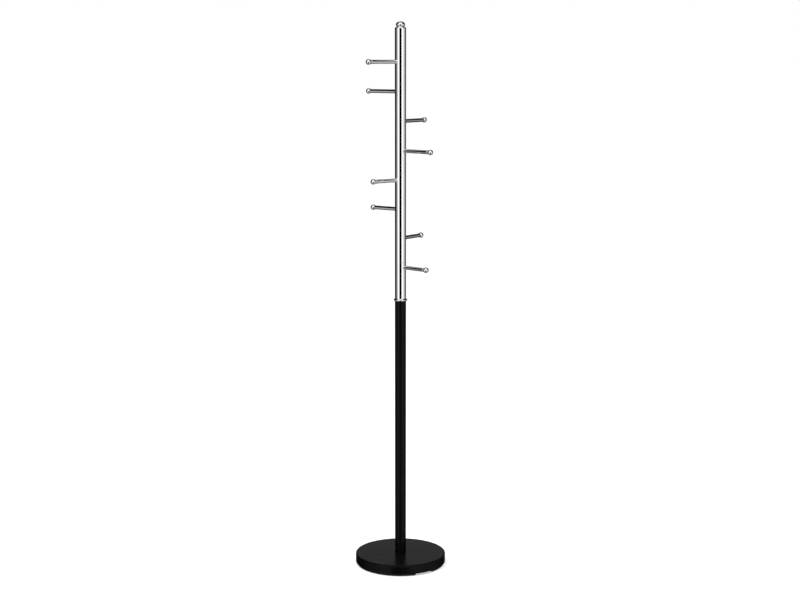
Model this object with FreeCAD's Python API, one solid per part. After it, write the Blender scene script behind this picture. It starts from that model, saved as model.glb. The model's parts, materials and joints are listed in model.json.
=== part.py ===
import FreeCAD, Part
import math
import os

# Standing coat rack: a weighted round base, a pole of two tubes joined at a trim ring, and
# eight ball-ended pegs that spiral down the upper tube.
# Millimetres. The origin is on the floor, on the pole's axis. +Z is up and -Y is the front.

# Base
base_diameter = 285.0
base_top = 35.0              # height of the cover's flat top, which the pole stands on
cover_thickness = 1.5
cover_edge_radius = 3.5      # outside radius where the top turns down into the wall
foot_height = 7.0            # the cover's rim and the bottom plate are this far off the floor

# Ballast disc
weight_diameter = 262.0
weight_thickness = 14.0
weight_recess_diameter = 44.0    # room for the bolt's washers
weight_recess_depth = 5.0

# Bottom plate
plate_thickness = 2.5
plate_clearance = 0.2            # gap between the plate and the cover's wall
plate_window_diameter = 50.0     # spanner access to the pole bolt
plate_wall_thickness = 2.0       # rim upstand and collar round the window
plate_rim_height = 8.0
rib_count = 12
rib_thickness = 1.6
rib_height = 6.0
boss_circle_diameter = 196.0
boss_diameter = 16.0
boss_count = 3

# Feet: three arcs with gaps between them
foot_outer_diameter = 275.5
foot_width = 14.0
foot_arc_deg = 96.0
foot_first_deg = 3.0             # middle of the first foot, anticlockwise from +X
foot_count = 3
foot_end_slope = 4.0          # how far each end leans in from top to floor
foot_edge_radius = 1.2

# Pole
tube_diameter = 35.0
tube_wall = 1.2
tube_end_chamfer = 0.4
ring_middle = 850.0
ring_height = 8.0                # also the diameter of the ring's half-round bead
ring_outer_diameter = 42.6
upper_tube_top = 1682.0
cap_flange_height = 4.0
cap_edge_radius = 2.8
cap_spigot_length = 14.0

# Top knob: a flattened ball on a short neck
knob_neck_diameter = 21.0
knob_diameter = 28.6
knob_widest_height = 7.5
knob_height = 17.2
knob_side_radius = 7.8           # outline radius beside the widest point

# Pegs: two tiers of four, the upper tier longer
peg_top_height = 1582.0
peg_pitch = 90.0
peg_turns_deg = (219.0, 143.0, 53.0, -43.0)   # one tier from the top down, anticlockwise from +X
peg_reaches = (123.0, 106.0)                  # pole axis to ball centre, upper and lower tier
peg_rod_diameter = 12.6
peg_rod_edge = 0.6
ball_diameter = 17.8
ball_neck_diameter = 10.8
ball_neck_reach = 9.6            # ball centre to the rod's end face
ball_spigot_diameter = 6.0
ball_spigot_length = 9.0

# Fasteners: threads are plain cylinders at their nominal diameter
pole_thread = 12.0
pole_bolt_length = 40.0
bolt_head_across_flats = 18.0
bolt_head_height = 7.5
bolt_hole_diameter = 13.0
washer_diameter = 37.0
washer_thickness = 2.5
lock_washer_diameter = 21.0
lock_washer_thickness = 2.5
lock_washer_gap = 1.2
tube_nut_length = 28.0
joint_stud_length = 46.0
peg_thread = 8.0
peg_hole_diameter = 8.4
peg_nut_diameter = 15.0
peg_nut_depth = 8.0
knob_thread_length = 12.0
plate_screw_thread = 5.0
plate_screw_head_diameter = 9.5
plate_screw_head_height = 3.4
plate_screw_head_sink = 0.6      # how far the heads sit inside the plate
plate_screw_recess_diameter = 11.0
plate_screw_bite = 9.0           # thread length in the ballast

# Modelling allowances
overrun = 1.0                    # how far cutters and joined bars run past a face
touching = 0.01                  # an edge this close to a face lies on it

# Worked out from the above
base_radius = base_diameter / 2
cover_inner_radius = base_radius - cover_thickness
weight_top = base_top - cover_thickness
weight_bottom = weight_top - weight_thickness
washer_top = weight_bottom + weight_recess_depth
lock_washer_top = washer_top - washer_thickness
head_top = lock_washer_top - lock_washer_thickness
plate_radius = cover_inner_radius - plate_clearance
plate_top = foot_height + plate_thickness
screw_head_bottom = foot_height + plate_screw_head_sink
screw_head_top = screw_head_bottom + plate_screw_head_height
tube_radius = tube_diameter / 2
tube_bore_radius = tube_radius - tube_wall
ring_bottom = ring_middle - ring_height / 2
ring_top = ring_middle + ring_height / 2
cap_top = upper_tube_top + cap_flange_height
peg_count = len(peg_turns_deg) * len(peg_reaches)


def point(x, y, z):
    return FreeCAD.Vector(x, y, z)


UP = point(0, 0, 1)
ALONG_X = point(1, 0, 0)
ORIGIN = point(0, 0, 0)


def rod(diameter, bottom, top):
    """Upright round bar on the pole's axis."""
    return Part.makeCylinder(diameter / 2, top - bottom, point(0, 0, bottom), UP)


def turned(edges):
    """Solid turned about the pole's axis from a closed outline in the XZ plane."""
    face = Part.Face(Part.Wire(edges))
    return face.revolve(ORIGIN, UP, 360)


def line(start, end):
    """Outline edge between two (radius, height) points."""
    return Part.makeLine(point(start[0], 0, start[1]), point(end[0], 0, end[1]))


def arc_about(centre_radius, centre_height, arc_radius, start_deg, end_deg):
    """Outline arc about a (radius, height) centre, angles anticlockwise from outward."""
    ends = []
    for turn_deg in (start_deg, (start_deg + end_deg) / 2, end_deg):
        turn = math.radians(turn_deg)
        across = centre_radius + arc_radius * math.cos(turn)
        ends.append(point(across, 0, centre_height + arc_radius * math.sin(turn)))
    return Part.Arc(*ends).toShape()


def rounded_rod(diameter, bottom, top, top_radius):
    """Upright round bar whose top edge is rounded."""
    bar = rod(diameter, bottom, top)
    top_edges = [edge for edge in bar.Edges if edge.BoundBox.ZMin > top - touching]
    return bar.makeFillet(top_radius, top_edges)


def at_polar(shape, radius, turn_deg):
    """Copy of a shape moved out along +X, then turned about the pole's axis."""
    placed = shape.copy()
    placed.translate(point(radius, 0, 0))
    placed.rotate(ORIGIN, UP, turn_deg)
    return placed


def boss_turn(index):
    """Direction of a plate boss and its screw: over the middle of each foot."""
    return foot_first_deg + index * 360.0 / boss_count


# ---- Base ----

def base_cover():
    """Pressed steel shell, open below, with a hole for the pole bolt."""
    outside = rounded_rod(base_diameter, foot_height, base_top, cover_edge_radius)
    inside_radius = cover_edge_radius - cover_thickness
    inside = rounded_rod(2 * cover_inner_radius, foot_height - overrun, weight_top, inside_radius)
    hole = rod(bolt_hole_diameter, weight_top - overrun, base_top + overrun)
    return outside.cut(inside).cut(hole)


def base_weight():
    """Cast-iron disc with a bolt hole, a recess for the washers and blind screw holes."""
    disc = rod(weight_diameter, weight_bottom, weight_top)
    disc = disc.cut(rod(bolt_hole_diameter, weight_bottom - overrun, weight_top + overrun))
    disc = disc.cut(rod(weight_recess_diameter, weight_bottom - overrun, washer_top))
    screw_hole = rod(plate_screw_thread, weight_bottom - overrun, weight_bottom + plate_screw_bite)
    for index in range(boss_count):
        disc = disc.cut(at_polar(screw_hole, boss_circle_diameter / 2, boss_turn(index)))
    return disc


def plate_rib():
    """One rib on the plate's upper side, from the window's collar to the rim."""
    inner = plate_window_diameter / 2 + plate_wall_thickness / 2
    outer = plate_radius - plate_wall_thickness / 2
    corner = point(inner, -rib_thickness / 2, plate_top)
    return Part.makeBox(outer - inner, rib_thickness, rib_height, corner)


def base_plate():
    """Moulded plate that closes the cover, with a rim, a window, ribs and screw bosses."""
    plate = rod(2 * plate_radius, foot_height, plate_top)
    rim = rod(2 * plate_radius, plate_top, plate_top + plate_rim_height)
    rim = rim.cut(rod(2 * (plate_radius - plate_wall_thickness), plate_top - overrun, base_top))
    collar = rod(plate_window_diameter + 2 * plate_wall_thickness, plate_top, plate_top + rib_height)
    plate = plate.fuse([rim, collar])
    boss_radius = boss_circle_diameter / 2
    half_step = 180.0 / rib_count
    for index in range(rib_count):
        rib_turn = foot_first_deg + half_step + index * 2 * half_step
        plate = plate.fuse(at_polar(plate_rib(), 0, rib_turn))
    for index in range(boss_count):
        boss = rod(boss_diameter, foot_height, weight_bottom)
        plate = plate.fuse(at_polar(boss, boss_radius, boss_turn(index)))
    recess = rod(plate_screw_recess_diameter, foot_height - overrun, screw_head_top)
    shank_hole = rod(plate_screw_thread, foot_height, weight_bottom + overrun)
    for index in range(boss_count):
        screw_path = recess.fuse(shank_hole)
        plate = plate.cut(at_polar(screw_path, boss_radius, boss_turn(index)))
    return plate.cut(rod(plate_window_diameter, foot_height - overrun, base_top)).removeSplitter()


def plate_screws():
    """Three screws from below, heads sunk in the plate, threads in the ballast."""
    head = rod(plate_screw_head_diameter, screw_head_bottom, screw_head_top)
    shank = rod(plate_screw_thread, screw_head_top - overrun, weight_bottom + plate_screw_bite)
    screw = head.fuse(shank).removeSplitter()
    radius = boss_circle_diameter / 2
    return Part.makeCompound([at_polar(screw, radius, boss_turn(i)) for i in range(boss_count)])


def foot(index):
    """Arc foot, its lower edges rounded and its ends leaning in towards the floor."""
    outer = foot_outer_diameter / 2
    inner = outer - foot_width
    outline = [
        line((inner, foot_height), (outer, foot_height)),
        line((outer, foot_height), (outer, foot_edge_radius)),
        arc_about(outer - foot_edge_radius, foot_edge_radius, foot_edge_radius, 0, -90),
        line((outer - foot_edge_radius, 0), (inner + foot_edge_radius, 0)),
        arc_about(inner + foot_edge_radius, foot_edge_radius, foot_edge_radius, -90, -180),
        line((inner, foot_edge_radius), (inner, foot_height)),
    ]
    arc = Part.Face(Part.Wire(outline)).revolve(ORIGIN, UP, foot_arc_deg)
    lean_deg = math.degrees(math.atan2(foot_end_slope, foot_height))
    block_size = 3 * foot_width
    for end_deg, side in ((0, -1), (foot_arc_deg, 1)):
        corner = point(inner - foot_width, min(side, 0) * block_size, -foot_height)
        block = Part.makeBox(block_size, block_size, 3 * foot_height, corner)
        block.rotate(point(0, 0, foot_height), ALONG_X, -side * lean_deg)
        block.rotate(ORIGIN, UP, end_deg)
        arc = arc.cut(block)
    middle_turn = foot_first_deg + index * 360.0 / foot_count
    arc.rotate(ORIGIN, UP, middle_turn - foot_arc_deg / 2)
    return arc


def pole_bolt():
    """Hexagon bolt from under the base into the pole, its head's lower corners broken."""
    head_bottom = head_top - bolt_head_height
    corner = point(bolt_head_across_flats / math.sqrt(3), 0, head_bottom)
    corners = [FreeCAD.Rotation(UP, 60 * index).multVec(corner) for index in range(6)]
    hexagon = Part.Face(Part.makePolygon(corners + [corner]))
    head = hexagon.extrude(point(0, 0, bolt_head_height))
    narrow = bolt_head_across_flats / 2
    cone_height = bolt_head_height + overrun
    cone = Part.makeCone(narrow, narrow + 2 * cone_height, cone_height, point(0, 0, head_bottom), UP)
    shank = rod(pole_thread, head_top - overrun, head_top + pole_bolt_length)
    return head.common(cone).fuse(shank).removeSplitter()


def flat_washer(diameter, top, thickness):
    """Washer under the pole bolt's head."""
    disc = rod(diameter, top - thickness, top)
    return disc.cut(rod(bolt_hole_diameter, top - thickness - overrun, top + overrun))


def bolt_washer():
    """Wide washer that spreads the bolt's load over the ballast."""
    return flat_washer(washer_diameter, washer_top, washer_thickness)


def lock_washer():
    """Split spring washer, closed flat under the head."""
    washer = flat_washer(lock_washer_diameter, lock_washer_top, lock_washer_thickness)
    corner = point(0, -lock_washer_gap / 2, head_top - overrun)
    split = Part.makeBox(lock_washer_diameter, lock_washer_gap, 2 * lock_washer_thickness, corner)
    return washer.cut(split)


# ---- Pole ----

def tube(bottom, top):
    """Length of pole tube with its outer end edges broken."""
    bar = rod(tube_diameter, bottom, top)
    end_edges = [edge for edge in bar.Edges if edge.BoundBox.ZLength < touching]
    bar = bar.makeChamfer(tube_end_chamfer, end_edges)
    return bar.cut(rod(2 * tube_bore_radius, bottom - overrun, top + overrun))


def tube_nut(bottom, top):
    """Threaded steel plug pressed into a tube's end."""
    return rod(2 * tube_bore_radius, bottom, top).cut(rod(pole_thread, bottom - overrun, top + overrun))


def lower_tube():
    """Black tube from the base to the ring."""
    return tube(base_top, ring_bottom)


def lower_foot_nut():
    """Plug that takes the pole bolt."""
    return tube_nut(base_top, base_top + tube_nut_length)


def lower_head_nut():
    """Plug that takes the lower half of the joint stud."""
    return tube_nut(ring_bottom - tube_nut_length, ring_bottom)


def joint_stud():
    """Threaded stud that pulls both tubes against the ring."""
    return rod(pole_thread, ring_middle - joint_stud_length / 2, ring_middle + joint_stud_length / 2)


def joint_ring():
    """Trim ring with a half-round bead that stands proud of both tubes."""
    bead_radius = ring_height / 2
    edge_radius = ring_outer_diameter / 2 - bead_radius
    bore_radius = pole_thread / 2
    return turned([
        line((bore_radius, ring_bottom), (edge_radius, ring_bottom)),
        arc_about(edge_radius, ring_middle, bead_radius, -90, 90),
        line((edge_radius, ring_top), (bore_radius, ring_top)),
        line((bore_radius, ring_top), (bore_radius, ring_bottom)),
    ])


def upper_foot_nut():
    """Plug that takes the upper half of the joint stud."""
    return tube_nut(ring_top, ring_top + tube_nut_length)


def upper_tube():
    """Chrome tube with one drilled hole for each peg's thread."""
    shape = tube(ring_top, upper_tube_top)
    for index in range(peg_count):
        hole = along_x(peg_hole_diameter, 0, tube_diameter)
        shape = shape.cut(on_peg_line(hole, index))
    return shape


def top_cap():
    """Rounded end cap with a spigot in the tube and a tapped hole for the knob."""
    flange = rounded_rod(tube_diameter, upper_tube_top, cap_top, cap_edge_radius)
    spigot = rod(2 * tube_bore_radius, upper_tube_top - cap_spigot_length, upper_tube_top)
    hole = rod(peg_thread, upper_tube_top - cap_spigot_length - overrun, cap_top + overrun)
    return flange.fuse(spigot).cut(hole).removeSplitter()


def top_knob():
    """Domed knob on a narrow neck, with its thread below.

    The outline is three arcs that run into each other: the underside swells to the widest
    point, a side arc turns it over, and a flatter crown arc closes it on the axis.
    """
    neck_radius = knob_neck_diameter / 2
    wide_radius = knob_diameter / 2
    widest = cap_top + knob_widest_height
    swell = wide_radius - neck_radius
    under_radius = (swell**2 + knob_widest_height**2) / (2 * swell)
    under_deg = math.degrees(math.asin(knob_widest_height / under_radius))
    inset = wide_radius - knob_side_radius
    rise = knob_height - knob_widest_height
    crown_radius = (inset**2 + rise**2 - knob_side_radius**2) / (2 * (rise - knob_side_radius))
    crown_centre = cap_top + knob_height - crown_radius
    meet_deg = math.degrees(math.atan2(widest - crown_centre, inset))
    ball = turned([
        line((0, cap_top), (neck_radius, cap_top)),
        arc_about(wide_radius - under_radius, widest, under_radius, -under_deg, 0),
        arc_about(inset, widest, knob_side_radius, 0, meet_deg),
        arc_about(0, crown_centre, crown_radius, meet_deg, 90),
        line((0, cap_top + knob_height), (0, cap_top)),
    ])
    return ball.fuse(rod(peg_thread, cap_top - knob_thread_length, cap_top + overrun)).removeSplitter()


# ---- Pegs ----

def peg_reach(index):
    """Distance from the pole's axis to a peg's ball centre."""
    return peg_reaches[index // len(peg_turns_deg)]


def on_peg_line(shape, index):
    """Move a shape made along +X to a peg's height and direction."""
    placed = shape.copy()
    placed.rotate(ORIGIN, UP, peg_turns_deg[index % len(peg_turns_deg)])
    placed.translate(point(0, 0, peg_top_height - index * peg_pitch))
    return placed


def along_x(diameter, start, end):
    """Round bar along +X."""
    return Part.makeCylinder(diameter / 2, end - start, point(start, 0, 0), ALONG_X)


def peg_rod(index):
    """Rod with its inner end cut to the tube's curve, a thread inside and a spigot outside."""
    face_at = peg_reach(index) - ball_neck_reach
    body = along_x(peg_rod_diameter, 0, face_at)
    outer_edges = [edge for edge in body.Edges if edge.BoundBox.XMin > face_at - touching]
    body = body.makeFillet(peg_rod_edge, outer_edges)
    body = body.cut(rod(tube_diameter, -tube_diameter, tube_diameter))
    thread = along_x(peg_thread, tube_bore_radius - peg_nut_depth, tube_radius + 2 * overrun)
    spigot = along_x(ball_spigot_diameter, face_at - overrun, face_at + ball_spigot_length)
    return on_peg_line(body.fuse([thread, spigot]).removeSplitter(), index)


def peg_ball(index):
    """Ball with a short neck, pressed onto the rod's spigot."""
    centre = peg_reach(index)
    face_at = centre - ball_neck_reach
    ball = Part.makeSphere(ball_diameter / 2, point(centre, 0, 0), ALONG_X, -90, 90, 360)
    neck = along_x(ball_neck_diameter, face_at, centre)
    bore = along_x(ball_spigot_diameter, face_at - overrun, face_at + ball_spigot_length)
    return on_peg_line(ball.fuse(neck).cut(bore).removeSplitter(), index)


def peg_nuts():
    """Weld nuts inside the upper tube, one behind each peg."""
    nut = along_x(peg_nut_diameter, tube_bore_radius - peg_nut_depth, tube_radius)
    nut = nut.common(rod(2 * tube_bore_radius, -tube_diameter, tube_diameter))
    nut = nut.cut(along_x(peg_thread, 0, tube_radius))
    return Part.makeCompound([on_peg_line(nut, index) for index in range(peg_count)])


# ---- Output: one file per piece ----

nodes = {
    "base_cover": base_cover(),
    "base_weight": base_weight(),
    "base_plate": base_plate(),
    "plate_screws": plate_screws(),
    "pole_bolt": pole_bolt(),
    "bolt_washer": bolt_washer(),
    "lock_washer": lock_washer(),
    "lower_tube": lower_tube(),
    "lower_foot_nut": lower_foot_nut(),
    "lower_head_nut": lower_head_nut(),
    "joint_stud": joint_stud(),
    "joint_ring": joint_ring(),
    "upper_foot_nut": upper_foot_nut(),
    "upper_tube": upper_tube(),
    "top_cap": top_cap(),
    "top_knob": top_knob(),
    "peg_nuts": peg_nuts(),
}
for foot_index in range(foot_count):
    nodes["foot_%d" % (foot_index + 1)] = foot(foot_index)
for peg_index in range(peg_count):
    nodes["peg_rod_%d" % (peg_index + 1)] = peg_rod(peg_index)
    nodes["peg_ball_%d" % (peg_index + 1)] = peg_ball(peg_index)

os.makedirs("parts", exist_ok=True)
for name, shape in nodes.items():
    shape.exportStep("parts/%s.step" % name)
    print("%-16s solids %d  valid %s" % (name, len(shape.Solids), shape.isValid()))
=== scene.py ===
import json
import math

import bmesh
import bpy
from mathutils import Matrix, Vector


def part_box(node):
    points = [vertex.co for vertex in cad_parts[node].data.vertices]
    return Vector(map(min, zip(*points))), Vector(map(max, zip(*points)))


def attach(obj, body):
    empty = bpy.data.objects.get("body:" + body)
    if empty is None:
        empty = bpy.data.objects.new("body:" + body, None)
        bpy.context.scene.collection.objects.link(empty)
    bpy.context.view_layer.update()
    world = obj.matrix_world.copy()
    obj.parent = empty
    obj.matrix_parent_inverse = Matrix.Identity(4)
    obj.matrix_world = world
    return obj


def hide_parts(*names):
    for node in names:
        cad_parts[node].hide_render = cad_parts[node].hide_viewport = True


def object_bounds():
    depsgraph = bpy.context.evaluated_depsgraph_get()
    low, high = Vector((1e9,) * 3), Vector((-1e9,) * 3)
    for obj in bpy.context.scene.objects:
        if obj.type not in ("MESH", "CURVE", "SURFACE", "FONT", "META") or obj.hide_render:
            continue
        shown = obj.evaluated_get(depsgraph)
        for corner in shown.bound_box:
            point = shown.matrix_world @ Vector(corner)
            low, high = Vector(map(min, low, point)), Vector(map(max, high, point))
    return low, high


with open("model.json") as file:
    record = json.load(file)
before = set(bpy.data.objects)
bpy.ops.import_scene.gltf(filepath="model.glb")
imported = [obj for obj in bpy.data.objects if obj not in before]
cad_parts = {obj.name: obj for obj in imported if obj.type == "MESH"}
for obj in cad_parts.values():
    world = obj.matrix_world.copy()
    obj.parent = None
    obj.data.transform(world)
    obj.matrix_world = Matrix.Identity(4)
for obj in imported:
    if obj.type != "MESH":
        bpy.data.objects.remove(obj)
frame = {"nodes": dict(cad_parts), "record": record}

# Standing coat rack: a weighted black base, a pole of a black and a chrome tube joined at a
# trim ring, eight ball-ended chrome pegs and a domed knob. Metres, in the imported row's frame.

cad_low, cad_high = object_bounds()

MM = 0.001
ROOT = "root"

# Sizes that a node's box doesn't give. Radii, where a name says nothing else.
TUBE_WALL = 1.2 * MM
TUBE_EDGE = 0.4 * MM
SHEET = 1.5 * MM                 # thickness of the base cover
COVER_EDGE = 3.5 * MM
COVER_RIM_EDGE = 0.5 * MM
COVER_TOP_RINGS = (0.2, 0.4, 0.6, 0.8, 0.93)    # rings across the flat top, as shares of its radius
FOOT_OUTER = 137.75 * MM
FOOT_WIDTH = 14.0 * MM
FOOT_EDGE = 1.2 * MM
FOOT_END_SLOPE = 4.0 * MM        # how far each end leans in from top to floor
FOOT_ARC_DEG = 96.0
FOOT_FIRST_DEG = 3.0
FOOT_STEP_DEG = 120.0
FOOT_COUNT = 3
CAP_EDGE = 2.8 * MM
KNOB_NECK = 10.5 * MM
KNOB_SIDE = 7.8 * MM             # outline radius beside the widest point
KNOB_WIDEST_HEIGHT = 7.5 * MM
PEG_HOLE = 4.2 * MM
PEG_ROD = 6.3 * MM
PEG_ROD_EDGE = 0.6 * MM
PEG_NUT_DEPTH = 8.0 * MM
PEG_RING_OFFSET = 1.5 * PEG_ROD  # from a peg's line to the tube's rings above and below it
DRILL_REACH = 3 * TUBE_WALL      # how far a peg's drill runs each side of the tube's surface
BALL = 8.9 * MM
BALL_NECK = 5.4 * MM
BALL_NECK_FILLET = 0.7 * MM
BALL_NECK_REACH = 9.6 * MM       # ball centre to the rod's end face
BALL_SPIGOT = 3.0 * MM
BALL_SPIGOT_LENGTH = 9.0 * MM
POLE_THREAD = 6.0 * MM
PEG_THREAD = 4.0 * MM
BOLT_HOLE = 6.5 * MM
FINE_EDGE = 0.3 * MM             # any small broken edge
SCREW_CIRCLE = 98.0 * MM
SCREW_HEAD = 4.75 * MM
SCREW_HEAD_HEIGHT = 3.4 * MM
SCREW_HEAD_EDGE = 1.4 * MM
SCREW_SHANK = 2.5 * MM
SCREW_POINT = 1.2 * MM
RECESS_MOUTH = 2.6 * MM          # half length of a cross slot below the head
RECESS_END = 1.4 * MM            # and at its deep end
RECESS_DEPTH = 1.9 * MM
RECESS_OVERRUN = 1 * MM
RECESS_WIDTH = 0.26              # as a share of the slot's length

# Steps round each turned shape and along a foot.
LATHE_STEPS = 192
PEG_STEPS = 72
SCREW_STEPS = 48
FLOOR_STEPS = 64
FOOT_STEPS = 64

# Steps in the arcs of the outlines.
EDGE_STEPS = 4                   # broken edges of the cover's rim, the feet and the tubes
COVER_EDGE_STEPS = 12
COVER_INNER_STEPS = 8
SCREW_HEAD_STEPS = 6
RING_STEPS = 28
CAP_EDGE_STEPS = 14
KNOB_UNDER_STEPS = 14
KNOB_SIDE_STEPS = 16
KNOB_CROWN_STEPS = 16
ROD_EDGE_STEPS = 5
NECK_EDGE_STEPS = 3
FILLET_STEPS = 6
BALL_ARC_STEPS = 44

SHARP_DEG = 32                   # edges sharper than this stay sharp
CORNER_AREA_WEIGHT = 100         # vertex normals follow the larger faces


# ---- Mesh helpers ----

def arc(centre, radius, start_deg, end_deg, steps):
    """Outline points on an arc about a (radius, height) centre, both ends included."""
    points = []
    for i in range(steps + 1):
        turn = math.radians(start_deg + (end_deg - start_deg) * i / steps)
        points.append((centre[0] + radius * math.cos(turn), centre[1] + radius * math.sin(turn)))
    return points


def flat_ring(work, radius, height, steps=PEG_STEPS):
    """Ring of vertices square to Z."""
    turns = [2 * math.pi * i / steps for i in range(steps)]
    return [work.verts.new((radius * math.cos(t), radius * math.sin(t), height)) for t in turns]


def join_rings(work, first, second):
    """Faces between two rings of vertices. A ring of one vertex closes to a point."""
    count = max(len(first), len(second))
    for i in range(count):
        j = (i + 1) % count
        corners = [first[i % len(first)], first[j % len(first)]]
        corners += [second[j % len(second)], second[i % len(second)]]
        corners = list(dict.fromkeys(corners))
        if len(corners) > 2:
            work.faces.new(corners)


def to_mesh(work, name):
    """Finish a bmesh as a mesh with outward normals."""
    bmesh.ops.recalc_face_normals(work, faces=work.faces)
    mesh = bpy.data.meshes.new(name)
    work.to_mesh(mesh)
    work.free()
    return mesh


def lathe(name, outline, steps=LATHE_STEPS, hollow=True):
    """Turn a (radius, height) outline about Z. A hollow one has a bore, so it closes on itself."""
    work = bmesh.new()
    rings = []
    for radius, height in outline:
        count = steps if radius > 0 else 1
        rings.append(flat_ring(work, radius, height, count))
    for first, second in zip(rings, rings[1:]):
        join_rings(work, first, second)
    if hollow:
        join_rings(work, rings[-1], rings[0])
    return to_mesh(work, name)


def cut(mesh, tools):
    """Cut closed meshes out of a mesh."""
    target = bpy.data.objects.new("cut_target", mesh)
    bpy.context.scene.collection.objects.link(target)
    helpers = [target]
    for tool_mesh in tools:
        tool = bpy.data.objects.new("cut_tool", tool_mesh)
        bpy.context.scene.collection.objects.link(tool)
        helpers.append(tool)
        modifier = target.modifiers.new("cut", "BOOLEAN")
        modifier.operation = "DIFFERENCE"
        modifier.solver = "EXACT"
        modifier.object = tool
    bpy.context.view_layer.update()
    evaluated = target.evaluated_get(bpy.context.evaluated_depsgraph_get())
    result = bpy.data.meshes.new_from_object(evaluated)
    for helper in helpers:
        bpy.data.objects.remove(helper)
    return result


def finish_piece(name, mesh, slot_name, node):
    """Make the piece that stands for a CAD node: smooth between real edges, in its slot's finish."""
    piece = bpy.data.objects.new(name, mesh)
    bpy.context.scene.collection.objects.link(piece)
    mesh.materials.clear()
    mesh.materials.append(MATERIALS[slot_name])
    mesh.polygons.foreach_set("use_smooth", [True] * len(mesh.polygons))
    mesh.set_sharp_from_angle(angle=math.radians(SHARP_DEG))
    normals = piece.modifiers.new("flat_faces_stay_flat", "WEIGHTED_NORMAL")
    normals.keep_sharp = True
    normals.weight = CORNER_AREA_WEIGHT
    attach(piece, ROOT)
    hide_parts(node)


# ---- Materials ----

NOISE_RANGE = (0.3, 0.7)         # noise values that give the first and the last of a pair


def start_material(name):
    """A new node material: itself, its nodes, its links and its shader."""
    material = bpy.data.materials.new(name)
    material.use_nodes = True
    tree = material.node_tree
    return material, tree.nodes, tree.links, tree.nodes["Principled BSDF"]


def noise(nodes, links, scale, detail, stretch=(1, 1, 1)):
    """Noise in the row's own coordinates."""
    coordinates = nodes.new("ShaderNodeTexCoord")
    mapping = nodes.new("ShaderNodeMapping")
    mapping.inputs["Scale"].default_value = stretch
    texture = nodes.new("ShaderNodeTexNoise")
    texture.inputs["Scale"].default_value = scale
    texture.inputs["Detail"].default_value = detail
    links.new(coordinates.outputs["Object"], mapping.inputs["Vector"])
    links.new(mapping.outputs["Vector"], texture.inputs["Vector"])
    return texture.outputs["Fac"]


def set_roughness(nodes, links, shader, value, low, high):
    """Roughness that follows a noise value between two limits."""
    scaled = nodes.new("ShaderNodeMapRange")
    scaled.inputs["From Min"].default_value = NOISE_RANGE[0]
    scaled.inputs["From Max"].default_value = NOISE_RANGE[1]
    scaled.inputs["To Min"].default_value = low
    scaled.inputs["To Max"].default_value = high
    links.new(value, scaled.inputs["Value"])
    links.new(scaled.outputs["Result"], shader.inputs["Roughness"])


def set_colour(nodes, links, shader, value, first, second):
    """Base colour that follows a noise value between two colours."""
    ramp = nodes.new("ShaderNodeValToRGB")
    ramp.color_ramp.elements[0].position = NOISE_RANGE[0]
    ramp.color_ramp.elements[1].position = NOISE_RANGE[1]
    ramp.color_ramp.elements[0].color = (*first, 1)
    ramp.color_ramp.elements[1].color = (*second, 1)
    links.new(value, ramp.inputs["Fac"])
    links.new(ramp.outputs["Color"], shader.inputs["Base Color"])


def add_bump(nodes, links, shader, height, strength, distance):
    """Fine relief on the shader's normal."""
    relief = nodes.new("ShaderNodeBump")
    relief.inputs["Strength"].default_value = strength
    relief.inputs["Distance"].default_value = distance
    links.new(height, relief.inputs["Height"])
    links.new(relief.outputs["Normal"], shader.inputs["Normal"])


def chrome_plate():
    """Polished chrome plate: faint handling haze and hair-fine buffing lines along the pole."""
    material, nodes, links, shader = start_material("chrome_plate")
    shader.inputs["Metallic"].default_value = 1.0
    haze = noise(nodes, links, 22, 4)
    lines = noise(nodes, links, 260, 1, (1, 1, 0.02))
    set_colour(nodes, links, shader, haze, (0.88, 0.885, 0.895), (0.93, 0.932, 0.938))
    set_roughness(nodes, links, shader, haze, 0.012, 0.032)
    add_bump(nodes, links, shader, lines, 0.005, 0.1 * MM)
    return material


def black_powder_coat():
    """Satin black powder coat: shallow orange peel, with a slightly uneven sheen."""
    material, nodes, links, shader = start_material("black_powder_coat")
    shader.inputs["Specular IOR Level"].default_value = 0.11
    patches = noise(nodes, links, 9, 1)
    peel = noise(nodes, links, 420, 1)
    set_colour(nodes, links, shader, patches, (0.0018, 0.0018, 0.0019), (0.0028, 0.0028, 0.0029))
    set_roughness(nodes, links, shader, patches, 0.26, 0.32)
    add_bump(nodes, links, shader, peel, 0.04, 0.1 * MM)
    return material


def black_plastic():
    """Moulded black plastic with a fine spark-eroded grain."""
    material, nodes, links, shader = start_material("black_plastic")
    patches = noise(nodes, links, 30, 3)
    grain = noise(nodes, links, 1800, 2)
    set_colour(nodes, links, shader, patches, (0.012, 0.012, 0.012), (0.018, 0.018, 0.018))
    set_roughness(nodes, links, shader, patches, 0.48, 0.58)
    add_bump(nodes, links, shader, grain, 0.25, 0.05 * MM)
    return material


def black_rubber():
    """Matt black rubber, a little dusty."""
    material, nodes, links, shader = start_material("black_rubber")
    dust = noise(nodes, links, 60, 4)
    grain = noise(nodes, links, 1200, 3)
    set_colour(nodes, links, shader, dust, (0.005, 0.005, 0.005), (0.010, 0.010, 0.010))
    set_roughness(nodes, links, shader, dust, 0.7, 0.85)
    add_bump(nodes, links, shader, grain, 0.3, 0.06 * MM)
    return material


def zinc_fastener():
    """Zinc-plated steel: mottled grey."""
    material, nodes, links, shader = start_material("zinc_fastener")
    shader.inputs["Metallic"].default_value = 1.0
    mottle = noise(nodes, links, 420, 4)
    set_colour(nodes, links, shader, mottle, (0.50, 0.50, 0.49), (0.66, 0.66, 0.63))
    set_roughness(nodes, links, shader, mottle, 0.28, 0.42)
    add_bump(nodes, links, shader, mottle, 0.08, 0.05 * MM)
    return material


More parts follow.
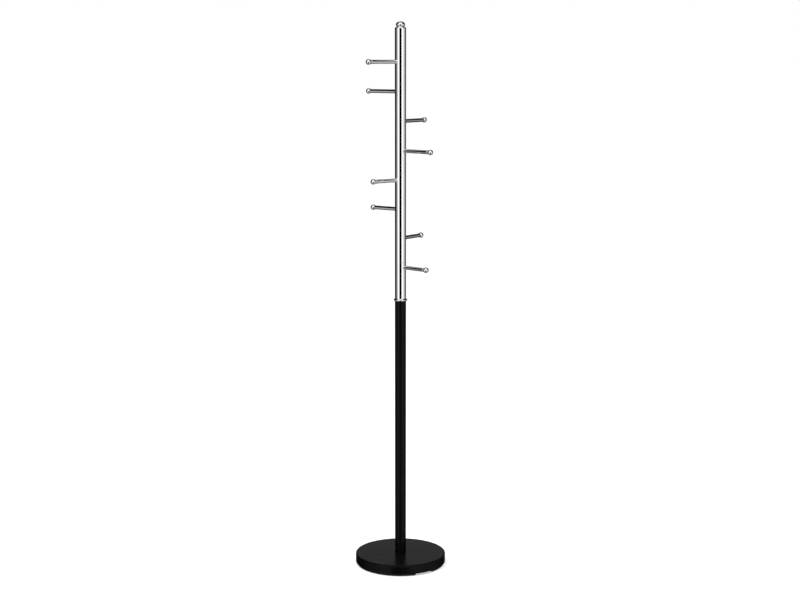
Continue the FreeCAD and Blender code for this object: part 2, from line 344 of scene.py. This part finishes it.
def cast_ballast():
    """Raw sand casting: dark, rough and pitted, with a trace of rust."""
    material, nodes, links, shader = start_material("cast_ballast")
    shader.inputs["Metallic"].default_value = 0.7
    sand = noise(nodes, links, 500, 5)
    rust = noise(nodes, links, 35, 5)
    set_colour(nodes, links, shader, rust, (0.07, 0.068, 0.066), (0.11, 0.09, 0.075))
    set_roughness(nodes, links, shader, rust, 0.6, 0.75)
    add_bump(nodes, links, shader, sand, 0.6, 0.3 * MM)
    return material


MATERIALS = {
    "chrome_plate": chrome_plate(),
    "black_powder_coat": black_powder_coat(),
    "black_plastic": black_plastic(),
    "black_rubber": black_rubber(),
    "zinc_fastener": zinc_fastener(),
    "cast_ballast": cast_ballast(),
}


def finish_cad_nodes():
    """Give every CAD node the finish of its slot in the record."""
    for subpart in frame["record"]["subparts"]:
        materials = frame["nodes"][subpart["node"]].data.materials
        materials.clear()
        materials.append(MATERIALS[subpart["material_slot"]])


# ---- Base ----

def base_cover():
    """Pressed shell: rounded shoulder, rounded lower rim and a hole for the pole's bolt."""
    low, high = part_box("base_cover")
    radius = high.x
    inner_edge = COVER_EDGE - SHEET
    inner_radius = radius - SHEET
    outline = [(BOLT_HOLE, high.z - FINE_EDGE), (BOLT_HOLE + FINE_EDGE, high.z)]
    outline += [(radius * share, high.z) for share in COVER_TOP_RINGS]
    outline += arc((radius - COVER_EDGE, high.z - COVER_EDGE), COVER_EDGE, 90, 0, COVER_EDGE_STEPS)
    rim = low.z + COVER_RIM_EDGE
    outline += arc((radius - COVER_RIM_EDGE, rim), COVER_RIM_EDGE, 0, -90, EDGE_STEPS)
    outline += arc((inner_radius + COVER_RIM_EDGE, rim), COVER_RIM_EDGE, -90, -180, EDGE_STEPS)
    inner_centre = (inner_radius - inner_edge, high.z - SHEET - inner_edge)
    outline += arc(inner_centre, inner_edge, 0, 90, COVER_INNER_STEPS)
    outline += [(BOLT_HOLE, high.z - SHEET)]
    mesh = lathe("base_cover_shell", outline)
    finish_piece("base_cover_shell", mesh, "black_powder_coat", "base_cover")


def foot(number):
    """Arc foot with rounded lower edges and ends that lean in towards the floor."""
    node = "foot_%d" % number
    low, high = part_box(node)
    inner = FOOT_OUTER - FOOT_WIDTH
    section = [(inner, high.z), (FOOT_OUTER, high.z)]
    section += arc((FOOT_OUTER - FOOT_EDGE, low.z + FOOT_EDGE), FOOT_EDGE, 0, -90, EDGE_STEPS)
    section += arc((inner + FOOT_EDGE, low.z + FOOT_EDGE), FOOT_EDGE, -90, -180, EDGE_STEPS)
    middle = math.radians(FOOT_FIRST_DEG + (number - 1) * FOOT_STEP_DEG)
    half = math.radians(FOOT_ARC_DEG / 2)
    work = bmesh.new()
    rings = []
    for i in range(FOOT_STEPS + 1):
        share = 2 * i / FOOT_STEPS - 1
        ring = []
        for radius, height in section:
            lean = FOOT_END_SLOPE * (high.z - height) / (high.z - low.z) / radius
            turn = middle + share * (half - lean)
            ring.append(work.verts.new((radius * math.cos(turn), radius * math.sin(turn), height)))
        rings.append(ring)
    for first, second in zip(rings, rings[1:]):
        join_rings(work, first, second)
    work.faces.new(rings[0])
    work.faces.new(rings[-1])
    finish_piece(node + "_arc", to_mesh(work, node + "_arc"), "black_rubber", node)


def cross_recess(bottom):
    """Two tapered slots that cut a cross into a screw's head from below."""
    outline = [(0, -RECESS_OVERRUN), (RECESS_MOUTH, -RECESS_OVERRUN)]
    outline += [(RECESS_END, RECESS_DEPTH), (0, RECESS_DEPTH)]
    slots = []
    for quarter_turn in (0, math.pi / 2):
        slot = lathe("slot", outline, SCREW_STEPS, False)
        narrowed = Matrix.Rotation(quarter_turn, 4, "Z") @ Matrix.Diagonal((1, RECESS_WIDTH, 1, 1))
        slot.transform(Matrix.Translation((0, 0, bottom)) @ narrowed)
        slots.append(slot)
    return slots


def plate_screws():
    """Pan-head screws with cross recesses, heads down, one inward of each foot's middle."""
    low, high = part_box("plate_screws")
    flat = SCREW_HEAD - SCREW_HEAD_EDGE
    outline = [(0, low.z), (flat, low.z)]
    outline += arc((flat, low.z + SCREW_HEAD_EDGE), SCREW_HEAD_EDGE, -90, 0, SCREW_HEAD_STEPS)[1:]
    outline += [(SCREW_HEAD, low.z + SCREW_HEAD_HEIGHT), (SCREW_SHANK, low.z + SCREW_HEAD_HEIGHT)]
    outline += [(SCREW_SHANK, high.z - SCREW_POINT), (SCREW_POINT, high.z), (0, high.z)]
    screw = cut(lathe("screw", outline, SCREW_STEPS, False), cross_recess(low.z))
    work = bmesh.new()
    for index in range(FOOT_COUNT):
        turn = Matrix.Rotation(math.radians(FOOT_FIRST_DEG + index * FOOT_STEP_DEG), 4, "Z")
        placed = screw.copy()
        placed.transform(turn @ Matrix.Translation((SCREW_CIRCLE, 0, 0)))
        work.from_mesh(placed)
    mesh = to_mesh(work, "plate_screws_cross")
    finish_piece("plate_screws_cross", mesh, "zinc_fastener", "plate_screws")


# ---- Pole ----

def tube_outline(radius, low, high, levels=()):
    """Outline of a tube with broken outer end edges, and extra rings at some levels."""
    bore = radius - TUBE_WALL
    outline = [(bore, low)]
    outline += arc((radius - TUBE_EDGE, low + TUBE_EDGE), TUBE_EDGE, -90, 0, EDGE_STEPS)
    outline += [(radius, level) for level in sorted(levels)]
    outline += arc((radius - TUBE_EDGE, high - TUBE_EDGE), TUBE_EDGE, 0, 90, EDGE_STEPS)
    outline += [(bore, high)]
    outline += [(bore, level) for level in sorted(levels, reverse=True)]
    return outline


def lower_tube():
    """Black tube from the base to the ring."""
    low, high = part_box("lower_tube")
    mesh = lathe("lower_tube_body", tube_outline(high.x, low.z, high.z))
    finish_piece("lower_tube_body", mesh, "black_powder_coat", "lower_tube")


def upper_tube(pegs):
    """Chrome tube, drilled for each peg's thread."""
    low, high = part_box("upper_tube")
    start, end = high.x - DRILL_REACH, high.x + DRILL_REACH
    levels = []
    drills = []
    for peg in pegs:
        levels += [peg["height"] - PEG_RING_OFFSET, peg["height"] + PEG_RING_OFFSET]
        outline = [(0, start), (PEG_HOLE, start), (PEG_HOLE, end), (0, end)]
        drill = lathe("drill", outline, PEG_STEPS, False)
        drill.transform(peg["matrix"])
        drills.append(drill)
    mesh = cut(lathe("upper_tube_body", tube_outline(high.x, low.z, high.z, levels)), drills)
    finish_piece("upper_tube_body", mesh, "chrome_plate", "upper_tube")


def joint_ring():
    """Trim ring with a half-round bead and a bore for the stud."""
    low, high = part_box("joint_ring")
    bead = (high.z - low.z) / 2
    centre = (high.x - bead, (low.z + high.z) / 2)
    outline = [(POLE_THREAD, low.z)] + arc(centre, bead, -90, 90, RING_STEPS) + [(POLE_THREAD, high.z)]
    finish_piece("joint_ring_bead", lathe("joint_ring_bead", outline), "chrome_plate", "joint_ring")


def top_cap():
    """End cap: rounded flange, spigot and tapped hole."""
    low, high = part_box("top_cap")
    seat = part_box("upper_tube")[1].z
    radius = high.x
    spigot = radius - TUBE_WALL
    outline = [(PEG_THREAD, low.z), (spigot - FINE_EDGE, low.z)]
    outline += [(spigot, low.z + FINE_EDGE), (spigot, seat)]
    outline += [(radius - FINE_EDGE, seat), (radius, seat + FINE_EDGE)]
    outline += arc((radius - CAP_EDGE, high.z - CAP_EDGE), CAP_EDGE, 0, 90, CAP_EDGE_STEPS)
    outline += [(PEG_THREAD, high.z)]
    finish_piece("top_cap_body", lathe("top_cap_body", outline), "chrome_plate", "top_cap")


def top_knob():
    """Domed knob and its thread. Three arcs run into each other: underside, side and crown."""
    low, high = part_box("top_knob")
    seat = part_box("top_cap")[1].z
    widest = seat + KNOB_WIDEST_HEIGHT
    swell = high.x - KNOB_NECK
    under = (swell ** 2 + KNOB_WIDEST_HEIGHT ** 2) / (2 * swell)
    under_deg = math.degrees(math.asin(KNOB_WIDEST_HEIGHT / under))
    inset = high.x - KNOB_SIDE
    rise = high.z - widest
    crown = (inset ** 2 + rise ** 2 - KNOB_SIDE ** 2) / (2 * (rise - KNOB_SIDE))
    crown_centre = high.z - crown
    meet_deg = math.degrees(math.atan2(widest - crown_centre, inset))
    outline = [(0, low.z), (PEG_THREAD - FINE_EDGE, low.z)]
    outline += [(PEG_THREAD, low.z + FINE_EDGE), (PEG_THREAD, seat)]
    outline += arc((high.x - under, widest), under, -under_deg, 0, KNOB_UNDER_STEPS)
    outline += arc((inset, widest), KNOB_SIDE, 0, meet_deg, KNOB_SIDE_STEPS)[1:]
    outline += arc((0, crown_centre), crown, meet_deg, 90, KNOB_CROWN_STEPS)[1:-1]
    outline += [(0, high.z)]
    mesh = lathe("top_knob_dome", outline, hollow=False)
    finish_piece("top_knob_dome", mesh, "chrome_plate", "top_knob")


# ---- Pegs ----

def read_pegs():
    """Each peg's number, height, reach to its ball's centre, and the matrix of its line.

    The matrix takes +Z to the peg's direction, so a lathe's axis becomes the peg's axis.
    """
    pegs = []
    for mount in frame["record"]["mounts"]:
        if not mount["name"].startswith("peg_"):
            continue
        number = int(mount["name"][len("peg_"):])
        out = Vector(mount["axis"])
        height = mount["pos_m"][2]
        low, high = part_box("peg_ball_%d" % number)
        furthest = high.x if out.x > 0 else -low.x
        reach = (furthest - BALL) / abs(out.x)
        matrix = Matrix.Translation((0, 0, height)) @ out.to_track_quat("Z", "Y").to_matrix().to_4x4()
        pegs.append({"number": number, "height": height, "reach": reach, "matrix": matrix})
    return pegs


def coped_ring(work, peg, radius, lift, pole):
    """Ring of a peg's vertices that lies on the pole's curve, or lift outside it."""
    side_of = peg["matrix"].to_3x3().inverted() @ Vector((0, 0, 1))
    ring = []
    for i in range(PEG_STEPS):
        turn = 2 * math.pi * i / PEG_STEPS
        across = Vector((radius * math.cos(turn), radius * math.sin(turn), 0))
        along_pole = across.dot(side_of)
        beside = math.sqrt(max(radius ** 2 - along_pole ** 2, 0))
        across.z = math.sqrt(pole ** 2 - beside ** 2) + lift
        ring.append(work.verts.new(across))
    return ring


def peg_rod(peg):
    """Rod cut to the tube's curve, with a thread inside the tube and a spigot in the ball."""
    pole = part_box("upper_tube")[1].x
    face = peg["reach"] - BALL_NECK_REACH
    inner = pole - TUBE_WALL - PEG_NUT_DEPTH
    tip = face + BALL_SPIGOT_LENGTH
    work = bmesh.new()
    rings = [
        flat_ring(work, PEG_THREAD - FINE_EDGE, inner),
        flat_ring(work, PEG_THREAD, inner + FINE_EDGE),
        coped_ring(work, peg, PEG_THREAD, 0, pole),
        coped_ring(work, peg, PEG_ROD - FINE_EDGE, 0, pole),
        coped_ring(work, peg, PEG_ROD, FINE_EDGE, pole),
    ]
    edge_centre = (PEG_ROD - PEG_ROD_EDGE, face - PEG_ROD_EDGE)
    for radius, height in arc(edge_centre, PEG_ROD_EDGE, 0, 90, ROD_EDGE_STEPS):
        rings.append(flat_ring(work, radius, height))
    rings.append(flat_ring(work, BALL_SPIGOT, face))
    rings.append(flat_ring(work, BALL_SPIGOT, tip - FINE_EDGE))
    rings.append(flat_ring(work, BALL_SPIGOT - FINE_EDGE, tip))
    for first, second in zip(rings, rings[1:]):
        join_rings(work, first, second)
    work.faces.new(rings[0])
    work.faces.new(rings[-1])
    name = "peg_rod_%d_bar" % peg["number"]
    mesh = to_mesh(work, name)
    mesh.transform(peg["matrix"])
    finish_piece(name, mesh, "chrome_plate", "peg_rod_%d" % peg["number"])


def peg_ball(peg):
    """Ball that runs into a short neck through a fillet, bored for the rod's spigot."""
    centre = peg["reach"]
    face = centre - BALL_NECK_REACH
    # The fillet's centre is its own radius away from both the neck and the ball.
    fillet_radius = BALL_NECK + BALL_NECK_FILLET
    fillet_back = math.sqrt((BALL + BALL_NECK_FILLET) ** 2 - fillet_radius ** 2)
    touch_deg = math.degrees(math.atan2(fillet_radius, fillet_back))
    bore_end = face + BALL_SPIGOT_LENGTH
    outline = [(0, bore_end), (BALL_SPIGOT, bore_end), (BALL_SPIGOT, face)]
    outline += arc((BALL_NECK - FINE_EDGE, face + FINE_EDGE), FINE_EDGE, -90, 0, NECK_EDGE_STEPS)
    fillet_centre = (fillet_radius, centre - fillet_back)
    outline += arc(fillet_centre, BALL_NECK_FILLET, 180, 90 + touch_deg, FILLET_STEPS)
    outline += arc((0, centre), BALL, touch_deg - 90, 90, BALL_ARC_STEPS)[1:-1]
    outline += [(0, centre + BALL)]
    name = "peg_ball_%d_tip" % peg["number"]
    mesh = lathe(name, outline, PEG_STEPS, False)
    mesh.transform(peg["matrix"])
    finish_piece(name, mesh, "chrome_plate", "peg_ball_%d" % peg["number"])


# ---- Studio ----

# What the chrome sees: (azimuth in degrees from the front, + to the right; brightness).
# Level with the pole: two white panels with a dark gap between them at the front, grey flags at
# the sides, and a dark back with a white panel in its middle. Below it, the same but dimmer.
# Above it, one white panel at the front and a dim one at the back. Overhead, an even panel.
STUDIO_LEVEL = [
    (-180, 0.95), (-164, 0.95), (-161, 0.0), (-104, 0.0), (-100, 0.10), (-82, 0.12),
    (-77, 0.44), (-58, 0.52), (-54, 1.15), (-24, 1.15), (-22, 0.0), (21, 0.0), (23, 1.1), (54, 1.1),
    (58, 0.80), (78, 0.78), (83, 0.34), (114, 0.30), (118, 0.0), (161, 0.0), (164, 0.95), (180, 0.95),
]
STUDIO_BELOW = [
    (-180, 0.50), (-164, 0.50), (-158, 0.02), (-104, 0.02), (-98, 0.28), (-60, 0.34),
    (-54, 0.52), (-24, 0.50), (-20, 0.03), (18, 0.03), (22, 0.50), (54, 0.52),
    (60, 0.38), (108, 0.30), (114, 0.02), (158, 0.02), (164, 0.50), (180, 0.50),
]
STUDIO_ABOVE = [
    (-180, 0.10), (-145, 0.10), (-130, 0.0), (-66, 0.0), (-58, 1.2), (44, 1.2), (56, 0.0), (130, 0.0),
    (145, 0.10), (180, 0.10),
]
BELOW_DEG = (-20, -14)           # elevations over which one band turns into the next
ABOVE_DEG = (10.5, 12.5)
OVERHEAD_DEG = (60, 66)
OVERHEAD_LEVEL = 0.6
SKY_FOR_DIFFUSE = 0.75

FLOOR_RADIUS = 60.0
FLOOR_GREYS = (0.86, 0.88)
FLOOR_ROUGHNESS = 0.9
FLOOR_GLOW = 0.42                # lifts the floor to the backdrop's white

SOFTBOX_PLACE = (-0.8, -1.0, 3.4)
SOFTBOX_AIM = (0, 0, 0.2)
SOFTBOX_SIDE = 2.6
SOFTBOX_WATTS = 55

CAMERA_PLACE = (-0.0015, -4.852, 1.617)
CAMERA_DOWN_DEG = 9.0
CAMERA_REACH = 200
LENS = 71.0
SENSOR = 36.0


def math_node(nodes, links, operation, first, second):
    """Value of a math node. The second input is a number, the first a socket."""
    node = nodes.new("ShaderNodeMath")
    node.operation = operation
    links.new(first, node.inputs[0])
    if isinstance(second, (int, float)):
        node.inputs[1].default_value = second
    else:
        links.new(second, node.inputs[1])
    return node.outputs["Value"]


def rising_step(nodes, links, up, limits_deg):
    """0 below an elevation, 1 above another, smooth between."""
    node = nodes.new("ShaderNodeMapRange")
    node.interpolation_type = "SMOOTHSTEP"
    node.inputs["From Min"].default_value = math.sin(math.radians(limits_deg[0]))
    node.inputs["From Max"].default_value = math.sin(math.radians(limits_deg[1]))
    links.new(up, node.inputs["Value"])
    return node.outputs["Result"]


def studio_band(nodes, links, turn, levels):
    """Brightness by azimuth, where turn runs from 0 to 1 round the object."""
    node = nodes.new("ShaderNodeValToRGB")
    elements = node.color_ramp.elements
    for azimuth, _brightness in levels[1:-1]:
        elements.new((azimuth + 180) / 360)
    for element, (azimuth, brightness) in zip(elements, levels):
        element.position = (azimuth + 180) / 360
        element.color = (brightness, brightness, brightness, 1)
    links.new(turn, node.inputs["Fac"])
    return node.outputs["Color"]


def blend(nodes, links, factor, first, second):
    """Mix two colours. Either may be a brightness."""
    node = nodes.new("ShaderNodeMixRGB")
    links.new(factor, node.inputs["Fac"])
    for socket, value in ((node.inputs["Color1"], first), (node.inputs["Color2"], second)):
        if isinstance(value, (int, float)):
            socket.default_value = (value, value, value, 1)
        else:
            links.new(value, socket)
    return node.outputs["Color"]


def make_world():
    """White to the camera, even to diffuse surfaces, and the studio's panels to glossy ones."""
    world = bpy.data.worlds.new("studio")
    bpy.context.scene.world = world
    world.use_nodes = True
    nodes, links = world.node_tree.nodes, world.node_tree.links
    coordinates = nodes.new("ShaderNodeTexCoord")
    axes = nodes.new("ShaderNodeSeparateXYZ")
    links.new(coordinates.outputs["Generated"], axes.inputs["Vector"])
    forward = math_node(nodes, links, "MULTIPLY", axes.outputs["Y"], -1.0)
    azimuth = math_node(nodes, links, "ARCTAN2", axes.outputs["X"], forward)
    turn = math_node(nodes, links, "DIVIDE", azimuth, 2 * math.pi)
    turn = math_node(nodes, links, "ADD", turn, 0.5)
    level = studio_band(nodes, links, turn, STUDIO_LEVEL)
    below = studio_band(nodes, links, turn, STUDIO_BELOW)
    above = studio_band(nodes, links, turn, STUDIO_ABOVE)
    panels = blend(nodes, links, rising_step(nodes, links, axes.outputs["Z"], BELOW_DEG), below, level)
    panels = blend(nodes, links, rising_step(nodes, links, axes.outputs["Z"], ABOVE_DEG), panels, above)
    overhead = rising_step(nodes, links, axes.outputs["Z"], OVERHEAD_DEG)
    panels = blend(nodes, links, overhead, panels, OVERHEAD_LEVEL)
    path = nodes.new("ShaderNodeLightPath")
    seen = blend(nodes, links, path.outputs["Is Glossy Ray"], SKY_FOR_DIFFUSE, panels)
    seen = blend(nodes, links, path.outputs["Is Camera Ray"], seen, 1.0)
    links.new(seen, nodes["Background"].inputs["Color"])


def make_floor():
    """Plain pale floor. From underneath it is clear, so the underside of the base shows."""
    material, nodes, links, shader = start_material("pale_floor")
    dark, light = ((grey, grey, grey) for grey in FLOOR_GREYS)
    set_colour(nodes, links, shader, noise(nodes, links, 6, 3), dark, light)
    shader.inputs["Roughness"].default_value = FLOOR_ROUGHNESS
    shader.inputs["Specular IOR Level"].default_value = 0.0
    shader.inputs["Emission Color"].default_value = (1, 1, 1, 1)
    shader.inputs["Emission Strength"].default_value = FLOOR_GLOW
    geometry = nodes.new("ShaderNodeNewGeometry")
    clear = nodes.new("ShaderNodeBsdfTransparent")
    sides = nodes.new("ShaderNodeMixShader")
    links.new(geometry.outputs["Backfacing"], sides.inputs["Fac"])
    links.new(shader.outputs["BSDF"], sides.inputs[1])
    links.new(clear.outputs["BSDF"], sides.inputs[2])
    links.new(sides.outputs["Shader"], nodes["Material Output"].inputs["Surface"])
    mesh = lathe("floor", [(0, cad_low.z), (FLOOR_RADIUS, cad_low.z)], FLOOR_STEPS, False)
    if mesh.polygons[0].normal.z < 0:
        mesh.flip_normals()
    mesh.materials.append(material)
    floor = bpy.data.objects.new("floor", mesh)
    bpy.context.scene.collection.objects.link(floor)
    floor.visible_glossy = False


def make_softbox():
    """Large soft light overhead, for the base's shadow. The chrome sees the studio instead."""
    data = bpy.data.lights.new("overhead", "AREA")
    data.shape = "SQUARE"
    data.size = SOFTBOX_SIDE
    data.energy = SOFTBOX_WATTS
    light = bpy.data.objects.new("overhead", data)
    light.location = SOFTBOX_PLACE
    light.rotation_euler = (Vector(SOFTBOX_AIM) - light.location).to_track_quat("-Z", "Y").to_euler()
    light.visible_glossy = False
    light.visible_camera = False
    bpy.context.scene.collection.objects.link(light)


def make_camera():
    """Camera in front, a little below the knob, looking down."""
    data = bpy.data.cameras.new("camera")
    data.lens = LENS
    data.sensor_width = SENSOR
    data.clip_end = CAMERA_REACH
    camera = bpy.data.objects.new("camera", data)
    camera.location = CAMERA_PLACE
    camera.rotation_euler = (math.radians(90 - CAMERA_DOWN_DEG), 0, 0)
    bpy.context.scene.collection.objects.link(camera)
    bpy.context.scene.camera = camera


# ---- Build ----

finish_cad_nodes()
base_cover()
for foot_index in range(FOOT_COUNT):
    foot(foot_index + 1)
plate_screws()
all_pegs = read_pegs()
lower_tube()
joint_ring()
upper_tube(all_pegs)
top_cap()
top_knob()
for one_peg in all_pegs:
    peg_rod(one_peg)
    peg_ball(one_peg)

make_world()
make_floor()
make_softbox()
make_camera()
bpy.context.scene.view_settings.view_transform = "Standard"
